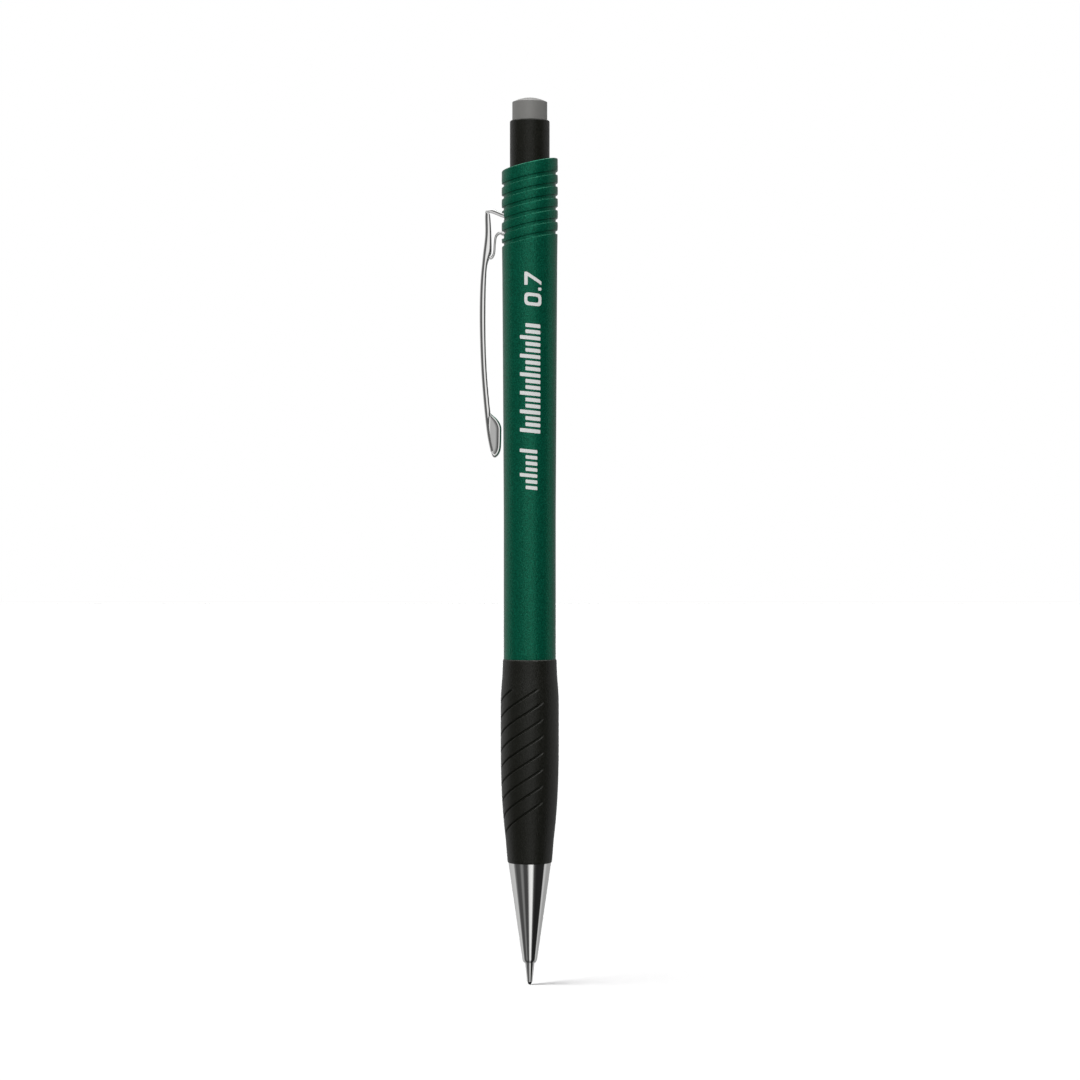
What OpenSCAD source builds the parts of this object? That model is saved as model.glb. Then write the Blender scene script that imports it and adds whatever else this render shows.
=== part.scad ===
// Push-button mechanical pencil. The origin is the writing tip, and +Z runs up the axis to the eraser.
// The pocket clip is on the -X side, and the oblique top of the barrel is highest on the +X side.

/* [Pencil] */
// Height of the eraser's top above the writing tip
pencil_h = 147.2; // [146.5:0.1:148]
// Diameter of the lead
lead_d = 0.7; // [0.5:0.1:0.7]
// Length of a full lead
lead_len = 60; // [40:1:62]

/* [Barrel] */
// Height of the joint between the barrel and the grip
joint_z = 54; // [52:0.5:56]
// Radius of the barrel just above the grip
barrel_r = 4.32; // [4.3:0.01:4.4]
// Radius of the barrel at its upper end
barrel_top_r = 4.65; // [4.6:0.01:4.8]
// Height of the barrel's oblique top where it crosses the axis
barrel_top_z = 136.1; // [135.8:0.1:136.3]
// Tilt of the oblique top and of the ring grooves
tilt = 13; // [9:0.5:14]
// Number of ring grooves
groove_count = 6; // [4:1:6]
// Distance from one ring groove to the next
groove_pitch = 1.96; // [1.8:0.02:2]
// Width of a ring groove
groove_w = 0.6; // [0.4:0.05:0.7]
// Depth of a ring groove
groove_depth = 0.32; // [0.2:0.02:0.4]

/* [Grip and nose] */
// Height of the joint between the grip and the nose cone
nose_top_z = 20.3; // [20.2:0.1:20.6]
// Largest radius of the grip
grip_r = 4.81; // [4.7:0.01:5]
// Radius of the nose cone where it meets the grip
nose_top_r = 3.55; // [3.5:0.01:3.6]
// Height of the nose cone's mouth
nose_mouth_z = 3.7; // [3.6:0.1:3.8]
// Radius of the nose cone at its mouth
nose_mouth_r = 1.22; // [1.18:0.01:1.3]

/* [Push button and eraser] */
// Radius of the push button
button_r = 3.3; // [3.28:0.01:3.35]
// Height of the push button's top
button_top_z = 143.4; // [143.2:0.1:143.6]
// Radius of the eraser
eraser_r = 2.9; // [2.8:0.01:2.9]
// Height of the eraser's dome
dome_h = 0.73; // [0.3:0.01:0.9]

/* [Clip] */
// Width of the pocket clip
clip_w = 3.4; // [3:0.1:3.6]
// Thickness of the clip's sheet steel
clip_t = 0.4; // [0.35:0.01:0.45]

/* [Mechanism] */
// Travel of the push button
press = 4.5; // [3:0.1:4.5]
// How far the tip sleeve slides back into the nose cone
retract = 3.2; // [2:0.1:3.2]
// Outer radius of the lead reservoir
reservoir_r = 2.1; // [2.05:0.01:2.1]
// Number of spare leads in the reservoir
spare_count = 3; // [1:1:4]
// Number of turns of the return spring
spring_turns = 8; // [6:1:9]

/* [Hidden] */
$fn = 96;

fit = 0.03;                         // radial running clearance of the small guided pieces
snug = 0.02;                        // radial clearance of pieces that are pushed together
over = 1;                           // how far a cut runs past the solid's end
lead_r = lead_d / 2;
lead_bore_r = lead_r + snug;

// Barrel: a body above the joint, and a thinner tube that carries the grip below it
front_r = 3.3;                      // outside of the tube under the grip
socket_r = 2.9;                     // socket that the nose cone screws into
housing_r = 2.5;                    // outside of the clutch housing
socket_top_z = 28.5;
housing_top_z = 36;
waist_top_z = 60;                   // top of the narrow bore round the reservoir
waist_r = reservoir_r + 0.25;
button_bore_r = button_r + 0.1;
tube_bore_r = button_bore_r - 0.3;  // bore below the push button's own
taper_z = [78, 104, 119, 126];      // heights between which the barrel widens towards its upper end
taper_share = [0, 0.45, 0.73, 1];   // and how much of the widening is reached at each
blank_top_z = 140;                  // top of the barrel before the oblique cut
block = 3 * barrel_top_r;           // side of the blocks that cut across the barrel
groove_first_z = barrel_top_z - 2.47;
slot_w = clip_w + 0.3;
leg_slot_z = 127.5;                 // slots that the clip's leg and tongue enter
tongue_slot_z = 124.3;
leg_slot_h = 1.3;
tongue_slot_h = 1.2;

// Tip and nose
tip_end_z = nose_mouth_z - retract - 0.05;
tip_end_r = lead_bore_r + 0.07;
pipe_r = 0.78;
pipe_top_z = 8.3;
slider_bottom_z = 7.05;
slider_top_z = 10.05;
slider_r = 1.25;
retainer_z = 8.6;
retainer_r = 0.96;
chamber_r = 1.95;                   // bore that the open jaws move in
ring_stop_z = 18.2;                 // ledge that stops the clutch ring
spigot_top_z = 27.5;

// Chuck, ring and housing
chuck_z = 18;                       // front of the closed jaws
chamber_z = chuck_z - press - 0.1;  // lower end of that bore, just below the pressed jaws
head_r = 1.55;
stem_r = 1.05;
stem_bore_r = lead_r + 0.1;
head_top_z = 20.6;
jaw_root_z = 29;
slit_w = 0.25;
ring_z = 19.4;
ring_h = 2.2;
ring_r = 2.2;
ring_bore_r = 1.31;
housing_bore_r = 2.25;
flange_z = ring_z + ring_h + 0.05;
flange_h = 0.75;
flange_bore_r = 1.4;
spring_z = flange_z + flange_h;
wire_r = 0.16;
coil_r = 1.75;

// Connector, reservoir and button
collar_z = 33;                      // spring seat on the connector
collar_h = 1.2;
reservoir_z = collar_z + collar_h;
stem_top_z = reservoir_z + 0.8;     // rear end of the chuck's tube in the connector
reservoir_bore_r = reservoir_r - 0.3;
reservoir_top_z = 131.4;
plug_top_z = 38.5;
skirt_z = 125;                      // lower end of the push button
mouth_z = skirt_z - press - 0.5;    // shoulder below the push button's bore
button_floor_z = 131.5;
button_floor_h = 1.5;
cap_z = 137.4;                      // above this the button stands clear of the barrel
pocket_r = eraser_r + 0.05;
holder_z = button_floor_z + button_floor_h;
eraser_stem_r = eraser_r - 0.6;
eraser_stem_z = holder_z + 0.8;
eraser_head_z = 139.2;

// Points along a smooth curve through the given points, n to each stretch
function curve_at(a, b, c, d, t) =
    0.5 * (2 * b + (c - a) * t + (2 * a - 5 * b + 4 * c - d) * t * t + (3 * b - a - 3 * c + d) * t * t * t);
function smooth(p, n) = concat([for (i = [0 : len(p) - 2]) for (j = [0 : n - 1])
    curve_at(p[max(i - 1, 0)], p[i], p[i + 1], p[min(i + 2, len(p) - 1)], j / n)], [p[len(p) - 1]]);

// The curve moved sideways by d
function unit(v) = v / norm(v);
function side_step(p, d) = [for (i = [0 : len(p) - 1])
    let (along = unit(p[min(i + 1, len(p) - 1)] - p[max(i - 1, 0)])) p[i] + d * [-along[1], along[0]]];
function reversed(p) = [for (i = [len(p) - 1 : -1 : 0]) p[i]];

// A bent strip of sheet, drawn by its centre line in the XZ plane and w wide along Y
module strip(path, t, w) {
    plate(concat(side_step(path, t / 2), reversed(side_step(path, -t / 2))), w);
}

module plate(outline, w) {
    rotate([90, 0, 0])
        linear_extrude(w, center = true)
            polygon(outline);
}

module tube(r_out, r_in, z0, z1) {
    difference() {
        translate([0, 0, z0])
            cylinder(r = r_out, h = z1 - z0);
        translate([0, 0, z0 - over])
            cylinder(r = r_in, h = z1 - z0 + 2 * over);
    }
}

// A round bar between two heights, or a bore when it is subtracted. It can start a little below z0
module rod(r, z0, z1, below = 0) {
    translate([0, 0, z0 - below])
        cylinder(r = r, h = z1 - z0 + below);
}

// Radius of the barrel part of the way from its lower to its upper radius
function barrel_at(share) = barrel_r + share * (barrel_top_r - barrel_r);

module barrel_blank() {
    rotate_extrude()
        polygon(concat([[0, joint_z], [barrel_at(0), joint_z]],
            [for (i = [0 : len(taper_z) - 1]) [barrel_at(taper_share[i]), taper_z[i]]],
            [[barrel_at(1), blank_top_z], [0, blank_top_z]]));
    rod(front_r, nose_top_z, joint_z + over);
}

module ring_grooves() {
    difference() {
        for (i = [0 : groove_count - 1])
            translate([0, 0, groove_first_z - i * groove_pitch])
                rotate([0, -tilt, 0])
                    cube([block, block, groove_w], center = true);
        rod(barrel_top_r - groove_depth, taper_z[1], blank_top_z);
    }
}

// Cuts away what lies above the oblique top
module oblique_cut() {
    translate([0, 0, barrel_top_z])
        rotate([0, -tilt, 0])
            translate([-block / 2, -block / 2, 0])
                cube(block);
}

// A slot through the barrel's wall on the clip's side
module clip_slot(z, h) {
    translate([-barrel_top_r - over, -slot_w / 2, z - h / 2])
        cube([barrel_top_r - button_bore_r + 2 * over, slot_w, h]);
}

module barrel() {
    color([0.01, 0.27, 0.19])
        difference() {
            barrel_blank();
            oblique_cut();
            ring_grooves();
            clip_slot(leg_slot_z, leg_slot_h);
            clip_slot(tongue_slot_z, tongue_slot_h);
            rod(socket_r, nose_top_z, socket_top_z, over);
            rod(housing_r + snug, socket_top_z, housing_top_z, over);
            rod(waist_r, housing_top_z, waist_top_z, over);
            rod(tube_bore_r, waist_top_z, mouth_z);
            rod(button_bore_r, mouth_z, blank_top_z + over);
        }
}

module grip_sleeve() {
    color([0.07, 0.07, 0.065])
        rotate_extrude()
            polygon([[front_r + fit, nose_top_z], [nose_top_r + 0.08, nose_top_z],
                [grip_r - 1.1, nose_top_z + 0.5], [grip_r - 1.02, 21.6], [grip_r - 0.82, 24],
                [grip_r - 0.48, 27.3], [grip_r - 0.23, 30.6], [grip_r - 0.08, 33.9], [grip_r, 38.1],
                [grip_r, 47.2], [grip_r - 0.08, 49], [grip_r - 0.26, 51.4], [grip_r - 0.36, joint_z - 0.15],
                [grip_r - 0.46, joint_z], [front_r + fit, joint_z]]);
}

module nose_cone() {
    thread_pitch = 0.7;
    thread_depth = 0.09;
    thread_z = nose_top_z + 1.2;
    lip = 0.25;                     // width of the bevel round the mouth
    gap = 0.05;                     // round the moving tip
    color([0.75, 0.76, 0.77])
        difference() {
            union() {
                rotate_extrude()
                    polygon([[0, nose_mouth_z], [nose_mouth_r - lip, nose_mouth_z],
                        [nose_mouth_r, nose_mouth_z + 1.6 * lip], [nose_top_r, nose_top_z],
                        [0, nose_top_z]]);
                rod(socket_r - fit - thread_depth, nose_top_z, spigot_top_z);
                for (z = [thread_z : thread_pitch : spigot_top_z - thread_pitch])
                    rod(socket_r - fit, z, z + thread_pitch / 2);
            }
            rod(pipe_r + gap, nose_mouth_z, slider_bottom_z, over);
            rod(slider_r + gap, slider_bottom_z - gap, chamber_z);
            rod(chamber_r, chamber_z, ring_stop_z);
            rod(housing_bore_r, ring_stop_z, ring_z);
            rod(housing_r + fit, ring_z, spigot_top_z + over);
        }
}

module tip_sleeve() {
    color([0.72, 0.73, 0.74])
        rotate_extrude()
            polygon([[lead_bore_r, tip_end_z], [tip_end_r - 0.03, tip_end_z], [tip_end_r, tip_end_z + 0.06],
                [pipe_r, nose_mouth_z - 0.05], [pipe_r, pipe_top_z], [lead_bore_r, pipe_top_z]]);
}

module tip_slider() {
    color([0.85, 0.85, 0.83])
        difference() {
            tube(slider_r, lead_bore_r + 0.3, slider_bottom_z, slider_top_z);
            rod(pipe_r, slider_bottom_z, pipe_top_z, over);
            rod(retainer_r + 0.01, retainer_z, slider_top_z + over);
        }
}

module lead_retainer() {
    color([0.1, 0.1, 0.1])
        tube(retainer_r, lead_bore_r, retainer_z, slider_top_z - 0.15);
}

// A full lead with its end worn to a blunt cone
module writing_lead() {
    color([0.2, 0.2, 0.21])
        rotate_extrude()
            polygon([[0, 0], [lead_r * 0.5, 0], [lead_r, 0.3], [lead_r, lead_len], [0, lead_len]]);
}

module chuck_body() {
    color([0.8, 0.62, 0.3])
        tube(stem_r, stem_bore_r, jaw_root_z + 0.05, stem_top_z);
}

// One third of the closed chuck, centred on the given angle
module chuck_jaw(angle) {
    apex = slit_w / 2 / cos(30);    // where the two slits beside a jaw would meet
    far_x = 4;
    far_y = (far_x - apex) * tan(60);
    grip_top_z = 23.5;              // top of the part that holds the lead
    color([0.8, 0.62, 0.3])
        rotate([0, 0, angle])
            intersection() {
                difference() {
                    rotate_extrude()
                        polygon([[0, chuck_z], [head_r - 0.1, chuck_z], [head_r, chuck_z + 0.1],
                            [head_r, chuck_z + 0.15], [stem_r, head_top_z], [stem_r, jaw_root_z],
                            [0, jaw_root_z]]);
                    rod(lead_r + fit, chuck_z, grip_top_z + over, over);
                    rod(stem_bore_r, grip_top_z, jaw_root_z + over);
                }
                linear_extrude(jaw_root_z + over)
                    polygon([[apex, 0], [far_x, far_y], [far_x, -far_y]]);
            }
}

module clutch_ring() {
    color([0.84, 0.68, 0.36])
        tube(ring_r, ring_bore_r, ring_z, ring_z + ring_h);
}

module clutch_housing() {
    color([0.9, 0.9, 0.88])
        difference() {
            tube(housing_r, flange_bore_r, ring_z, housing_top_z);
            rod(housing_bore_r, ring_z, flange_z, over);
            rod(housing_bore_r, spring_z, housing_top_z + over);
        }
}

// The spring's wire, swept along its helix as one closed tube
module return_spring() {
    sides = 6;
    per_turn = 16;
    steps = spring_turns * per_turn;
    z0 = spring_z + wire_r;
    z1 = collar_z - wire_r;
    points = [for (i = [0 : steps]) for (k = [0 : sides - 1])
        let (a = 360 * i / per_turn, b = 360 * k / sides, r = coil_r + wire_r * cos(b))
            [r * cos(a), r * sin(a), z0 + (z1 - z0) * i / steps + wire_r * sin(b)]];
    walls = [for (i = [0 : steps - 1]) for (k = [0 : sides - 1])
        let (m = (k + 1) % sides) [i * sides + k, (i + 1) * sides + k, (i + 1) * sides + m, i * sides + m]];
    ends = [[for (k = [0 : sides - 1]) k], [for (k = [sides - 1 : -1 : 0]) steps * sides + k]];
    color([0.7, 0.7, 0.72])
        polyhedron(points, concat(walls, ends));
}

module tube_connector() {
    neck_z = 31;
    neck_r = 1.5;
    socket_bore_r = stem_r + 0.01;
    plug_r = reservoir_bore_r - snug;
    funnel_z = 36.5;
    funnel_bore_r = lead_r + 0.15;
    color([0.93, 0.93, 0.9])
        rotate_extrude()
            polygon([[socket_bore_r, neck_z], [neck_r, neck_z], [neck_r, collar_z], [reservoir_r, collar_z],
                [reservoir_r, reservoir_z], [plug_r, reservoir_z], [plug_r, plug_top_z],
                [neck_r, plug_top_z], [funnel_bore_r, funnel_z], [funnel_bore_r, stem_top_z],
                [socket_bore_r, stem_top_z]]);
}

module lead_reservoir() {
    color([0.88, 0.9, 0.9])
        tube(reservoir_r, reservoir_bore_r, reservoir_z, reservoir_top_z);
}

// Loose leads standing in the reservoir beside the writing lead
module spare_leads() {
    stand_r = 1.13;
    foot_z = plug_top_z + 0.3;
    color([0.2, 0.2, 0.21])
        for (i = [0 : spare_count - 1])
            rotate([0, 0, 45 + i * 360 / spare_count])
                translate([stand_r, 0, 0])
                    rod(lead_r, foot_z, foot_z + lead_len);
}

// The skirt inside the barrel narrows a little towards its lower end
module push_button() {
    corner = 0.3;
    draft = 0.1;
    bore_r = reservoir_r + 0.01;
    color([0.06, 0.06, 0.06])
        rotate_extrude()
            polygon([[bore_r, skirt_z], [button_r - draft, skirt_z], [button_r, cap_z],
                [button_r, button_top_z - corner], [button_r - corner * 0.3, button_top_z - corner * 0.3],
                [button_r - corner, button_top_z], [pocket_r, button_top_z], [pocket_r, holder_z],
                [reservoir_bore_r, holder_z], [reservoir_bore_r, button_floor_z],
                [bore_r, button_floor_z]]);
}

module eraser_holder() {
    color([0.92, 0.92, 0.9])
        difference() {
            rod(eraser_r, holder_z, eraser_head_z);
            rod(eraser_stem_r + snug, eraser_stem_z, eraser_head_z + over);
        }
}

// A stem in the holder and a wider head with a domed top
module eraser() {
    dome_r = (eraser_r * eraser_r + dome_h * dome_h) / (2 * dome_h);
    color([0.5, 0.5, 0.48])
        union() {
            rod(eraser_stem_r, eraser_stem_z, eraser_head_z + over);
            intersection() {
                rod(eraser_r, eraser_head_z, pencil_h + over);
                translate([0, 0, pencil_h - dome_r])
                    sphere(dome_r);
            }
        }
}

// Clip: centre line of the face, from the leg in the barrel over the bend and down to the foot
clip_face = smooth([[-3.75, 127.45], [-4.7, 127.8], [-6.2, 128.4], [-6.9, 128.35], [-7.2, 127.6],
    [-7.2, 124.3], [-7.6, 120.6], [-8, 116], [-8.1, 110], [-7.9, 103], [-7.5, 97.3], [-6.9, 91.6],
    [-6.25, 88.4]], 4);
// Inner edge of the two side flanges, from the bend down to the top of the foot
clip_edge = smooth([[-6.6, 127.9], [-6.45, 126], [-6.35, 122], [-6.65, 121], [-7.15, 119], [-7.35, 114],
    [-7.35, 107], [-7.1, 101], [-6.6, 95.3]], 4);
// Centre line of the tongue that springs back into the barrel
clip_tongue = smooth([[-7.3, 122.5], [-7.15, 121.3], [-6.5, 120.6], [-5.95, 121.3], [-5.8, 123],
    [-5.6, 124.2], [-5, 124.75], [-4.5, 124.55], [-3.75, 124.25]], 5);
// Outline of the foot, which is pressed out of the sheet until it meets the barrel
clip_foot = concat(smooth([[-6.75, 95.2], [-6.3, 94.6], [-5.4, 93.8], [-4.75, 92.75]], 4),
    smooth([[-4.72, 92.4], [-4.88, 90.6], [-5.02, 89.2], [-5.35, 88.1], [-5.9, 87.6], [-6.35, 88.2]], 4),
    [[-6.95, 91.6]]);

module clip_flange(y) {
    translate([0, y, 0])
        plate(concat([for (p = clip_face) if (p[1] < 128 && p[1] > 95 && p[0] < -6.7) p],
            reversed(clip_edge)), clip_t);
}

module pocket_clip() {
    flange_y = (clip_w - clip_t) / 2;
    color([0.74, 0.75, 0.76])
        union() {
            strip(clip_face, clip_t, clip_w);
            clip_flange(flange_y);
            clip_flange(-flange_y);
            strip(clip_tongue, clip_t * 0.8, clip_w - 3 * clip_t);
            plate(clip_foot, clip_w - clip_t);
        }
}

barrel();
grip_sleeve();
nose_cone();
tip_sleeve();
tip_slider();
lead_retainer();
writing_lead();
chuck_body();
chuck_jaw(0);  // chuck_jaw_1
chuck_jaw(120);  // chuck_jaw_2
chuck_jaw(240);  // chuck_jaw_3
clutch_ring();
clutch_housing();
return_spring();
tube_connector();
lead_reservoir();
spare_leads();
push_button();
eraser_holder();
eraser();
pocket_clip();
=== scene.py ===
import math
import bmesh
import bpy
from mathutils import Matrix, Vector
from mathutils.geometry import tessellate_polygon


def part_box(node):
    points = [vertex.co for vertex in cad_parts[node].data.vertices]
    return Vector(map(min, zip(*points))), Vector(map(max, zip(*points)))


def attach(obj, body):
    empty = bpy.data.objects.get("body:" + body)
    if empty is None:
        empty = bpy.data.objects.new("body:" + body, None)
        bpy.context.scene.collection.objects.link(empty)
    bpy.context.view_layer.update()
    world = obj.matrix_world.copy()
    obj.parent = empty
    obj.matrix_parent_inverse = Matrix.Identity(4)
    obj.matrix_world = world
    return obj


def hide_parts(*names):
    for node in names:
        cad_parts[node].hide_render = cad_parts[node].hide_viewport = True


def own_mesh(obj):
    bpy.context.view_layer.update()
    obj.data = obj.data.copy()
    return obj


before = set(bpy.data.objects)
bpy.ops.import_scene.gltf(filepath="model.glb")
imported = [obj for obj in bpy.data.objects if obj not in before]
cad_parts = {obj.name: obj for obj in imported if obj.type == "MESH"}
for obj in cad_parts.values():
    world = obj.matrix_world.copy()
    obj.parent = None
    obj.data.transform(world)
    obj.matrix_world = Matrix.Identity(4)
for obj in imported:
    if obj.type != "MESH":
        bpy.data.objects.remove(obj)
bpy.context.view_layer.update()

MM = 0.001
TILT = math.tan(math.radians(13))      # slope of the oblique top and of the ring grooves
TOP_Z = 136.1                          # the oblique top, where it crosses the axis
FRONT = -90                            # angle of the barrel's front, towards the camera


# ---------------------------------------------------------------- mesh helpers
def low(node):
    """The lower corner of a CAD node's box, in millimetres."""
    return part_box(node)[0] / MM


def high(node):
    """The upper corner of a CAD node's box, in millimetres."""
    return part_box(node)[1] / MM


def smoothstep(x, start, end):
    """0 up to start and 1 from end on, with a smooth rise between them."""
    t = min(1, max(0, (x - start) / (end - start)))
    return t * t * (3 - 2 * t)


def curve_through(points, steps):
    """A smooth curve through the points, with the given number of steps in each stretch."""
    made = []
    last = len(points) - 1
    for i in range(last):
        a, b, c, d = (Vector(points[min(max(k, 0), last)]) for k in (i - 1, i, i + 1, i + 2))
        for j in range(steps):
            t = j / steps
            made.append(0.5 * (2 * b + (c - a) * t + (2 * a - 5 * b + 4 * c - d) * t * t
                               + (3 * b - a - 3 * c + d) * t ** 3))
    made.append(Vector(points[last]))
    return made


def add_object(name, data):
    """An object in the scene, with a mesh, a lamp or a camera as its data."""
    made = bpy.data.objects.new(name, data)
    bpy.context.scene.collection.objects.link(made)
    return made


def add_piece(name, body, mesh, material):
    """A visible piece that rides on a body."""
    mesh.materials.append(material)
    piece = add_object(name, mesh)
    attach(piece, body)
    return piece


def make_piece(name, body, verts, faces, material, node, sharp):
    """A piece from vertices in millimetres, in the place of a CAD node.

    Edges that turn more than sharp degrees stay sharp."""
    mesh = bpy.data.meshes.new(name)
    mesh.from_pydata([tuple(c * MM for c in v) for v in verts], [], faces)
    mesh.validate()
    mesh.polygons.foreach_set("use_smooth", [True] * len(mesh.polygons))
    mesh.set_sharp_from_angle(angle=math.radians(sharp))
    piece = add_piece(name, body, mesh, material)
    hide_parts(node)
    return piece


def lathe(profile, segments, place=None, closed=True):
    """Vertices and faces of a profile of (r, z) turned about Z. A point on the axis becomes one vertex.

    place(r, a, z) gives a point's own radius and height at the angle a. A closed profile is a ring, and
    one that isn't closed starts and ends on the axis."""
    verts, rings = [], []
    for r, z in profile:
        if r == 0:
            rings.append([len(verts)])
            verts.append((0, 0, z))
            continue
        rings.append(list(range(len(verts), len(verts) + segments)))
        for i in range(segments):
            a = 2 * math.pi * i / segments
            rr, zz = place(r, a, z) if place else (r, z)
            verts.append((rr * math.cos(a), rr * math.sin(a), zz))
    faces = []
    pairs = list(zip(rings, rings[1:]))
    if closed:
        pairs.append((rings[-1], rings[0]))
    for lower, upper in pairs:
        for i in range(segments):
            j = (i + 1) % segments
            if len(lower) == 1:
                faces.append((lower[0], upper[j], upper[i]))
            elif len(upper) == 1:
                faces.append((lower[i], lower[j], upper[0]))
            else:
                faces.append((lower[i], lower[j], upper[j], upper[i]))
    return verts, faces


def rounded(points, radius, steps):
    """The outline with some corners rounded off. radius maps a corner's index to its radius."""
    made = []
    for i, p in enumerate(points):
        p = Vector(p)
        r = radius.get(i, 0)
        if not r:
            made.append(tuple(p))
            continue
        before = (Vector(points[i - 1]) - p).normalized() * r
        after = (Vector(points[(i + 1) % len(points)]) - p).normalized() * r
        for k in range(steps + 1):
            t = k / steps
            made.append(tuple(p + before * (1 - t) ** 2 + after * t ** 2))
    return made


def dense(profile, step):
    """The profile with its stretches split, so that none is longer than step."""
    made = [profile[0]]
    for a, b in zip(profile, profile[1:]):
        n = max(1, math.ceil(math.dist(a, b) / step))
        made += [(a[0] + (b[0] - a[0]) * k / n, a[1] + (b[1] - a[1]) * k / n) for k in range(1, n + 1)]
    return made


# ---------------------------------------------------------------- materials
class Shader:
    """A Principled material whose look is built from a few procedural layers."""

    def __init__(self, name, color, rough, metallic=0.0, **sockets):
        self.material = bpy.data.materials.new(name)
        self.material.use_nodes = True
        self.tree = self.material.node_tree
        self.main = self.tree.nodes["Principled BSDF"]
        self.coords = self.tree.nodes.new("ShaderNodeTexCoord").outputs["Object"]
        self.set("Base Color", (*color, 1))
        self.set("Roughness", rough)
        self.set("Metallic", metallic)
        for socket, value in sockets.items():
            self.set(socket.replace("_", " "), value)

    def set(self, socket, value):
        """Sets one of the shader's own sockets."""
        self.main.inputs[socket].default_value = value

    def node(self, kind, **inputs):
        """A new node, with its inputs set to values or linked to other nodes' outputs."""
        made = self.tree.nodes.new(kind)
        for key, value in inputs.items():
            socket = made.inputs[key.replace("_", " ")]
            if isinstance(value, bpy.types.NodeSocket):
                self.tree.links.new(value, socket)
            else:
                socket.default_value = value
        return made

    def noise(self, scale, detail, stretch=(1, 1, 1)):
        """Noise over the object's own coordinates, finer along an axis where stretch is more than 1."""
        place = self.node("ShaderNodeMapping", Vector=self.coords, Scale=stretch).outputs["Vector"]
        return self.node("ShaderNodeTexNoise", Vector=place, Scale=scale, Detail=detail).outputs["Fac"]

    def ramp(self, factor, low_value, high_value, low_at=0.3, high_at=0.7):
        """Runs from low_value to high_value as the factor goes from low_at to high_at."""
        made = self.node("ShaderNodeMapRange", Value=factor, From_Min=low_at, From_Max=high_at,
                         To_Min=low_value, To_Max=high_value)
        return made.outputs["Result"]

    def vary_color(self, factor, one, other, low_at=0.3, high_at=0.7):
        """Mixes the base colour from two colours."""
        mix = self.tree.nodes.new("ShaderNodeMix")
        mix.data_type = "RGBA"
        self.tree.links.new(self.ramp(factor, 0, 1, low_at, high_at), mix.inputs["Factor"])
        color_in = [s for s in mix.inputs if s.type == "RGBA"]
        for socket, color in zip(color_in, (one, other)):
            socket.default_value = (*color, 1)
        color_out = next(s for s in mix.outputs if s.type == "RGBA")
        self.tree.links.new(color_out, self.main.inputs["Base Color"])
        return self

    def vary_roughness(self, factor, low_value, high_value):
        """Varies the roughness between two values."""
        self.tree.links.new(self.ramp(factor, low_value, high_value), self.main.inputs["Roughness"])
        return self

    def bump(self, factor, depth_mm, strength):
        """Adds fine grain that is too small for the mesh."""
        made = self.node("ShaderNodeBump", Height=factor, Strength=strength, Distance=depth_mm * MM)
        self.tree.links.new(made.outputs["Normal"], self.main.inputs["Normal"])
        return self


def satin_green():
    """Satin green with fine metallic flakes."""
    s = Shader("satin_green", (0.002, 0.135, 0.074), 0.31, 0.4, Specular_IOR_Level=0.25)
    grain = s.noise(3800, 2)
    s.vary_color(grain, (0.001, 0.096, 0.052), (0.003, 0.155, 0.087), 0.35, 0.65)
    s.vary_roughness(s.noise(2600, 2), 0.26, 0.34)
    return s.bump(grain, 0.07, 0.9).material


def grip_rubber():
    s = Shader("grip_rubber", (0.0088, 0.0092, 0.0066), 0.42, Specular_IOR_Level=0.4)
    grain = s.noise(4200, 2)
    s.vary_color(s.noise(3200, 4), (0.006, 0.0063, 0.004), (0.0112, 0.0117, 0.0084))
    s.vary_roughness(s.noise(2100, 2), 0.38, 0.47)
    return s.bump(grain, 0.06, 1.0).material


def black_plastic():
    s = Shader("black_plastic", (0.012, 0.0122, 0.0095), 0.34, Specular_IOR_Level=0.25)
    s.vary_color(s.noise(3000, 3), (0.009, 0.0095, 0.007), (0.0145, 0.0148, 0.0115))
    s.vary_roughness(s.noise(2500, 2), 0.3, 0.4)
    return s.bump(s.noise(4200, 2), 0.06, 0.9).material


def eraser_rubber():
    s = Shader("eraser_rubber", (0.2, 0.195, 0.185), 0.4, Specular_IOR_Level=0.6)
    s.vary_color(s.noise(900, 3), (0.243, 0.24, 0.23), (0.257, 0.253, 0.243))
    s.vary_roughness(s.noise(1200, 3), 0.36, 0.46)
    return s.bump(s.noise(2600, 4), 0.008, 0.5).material


def chrome():
    s = Shader("chrome", (0.83, 0.83, 0.82), 0.1, 1.0)
    s.vary_roughness(s.noise(350, 4, (1, 1, 0.25)), 0.07, 0.14)
    return s.bump(s.noise(900, 2, (1, 1, 3)), 0.001, 0.3).material


def bright_steel():
    s = Shader("bright_steel", (0.8, 0.8, 0.79), 0.05, 1.0)
    s.vary_roughness(s.noise(800, 3, (1, 1, 0.2)), 0.03, 0.08)
    return s.bump(s.noise(2400, 2, (1, 1, 0.15)), 0.001, 0.3).material


def spring_wire():
    s = Shader("spring_wire", (0.6, 0.6, 0.6), 0.25, 1.0)
    s.vary_roughness(s.noise(1800, 3), 0.2, 0.34)
    return s.material


def turned_brass():
    s = Shader("turned_brass", (0.72, 0.5, 0.2), 0.26, 1.0)
    s.vary_roughness(s.noise(1200, 3, (1, 1, 6)), 0.2, 0.36)
    s.vary_color(s.noise(500, 3), (0.68, 0.46, 0.18), (0.76, 0.54, 0.24))
    return s.bump(s.noise(3000, 2, (0.2, 0.2, 8)), 0.002, 0.5).material


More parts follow.
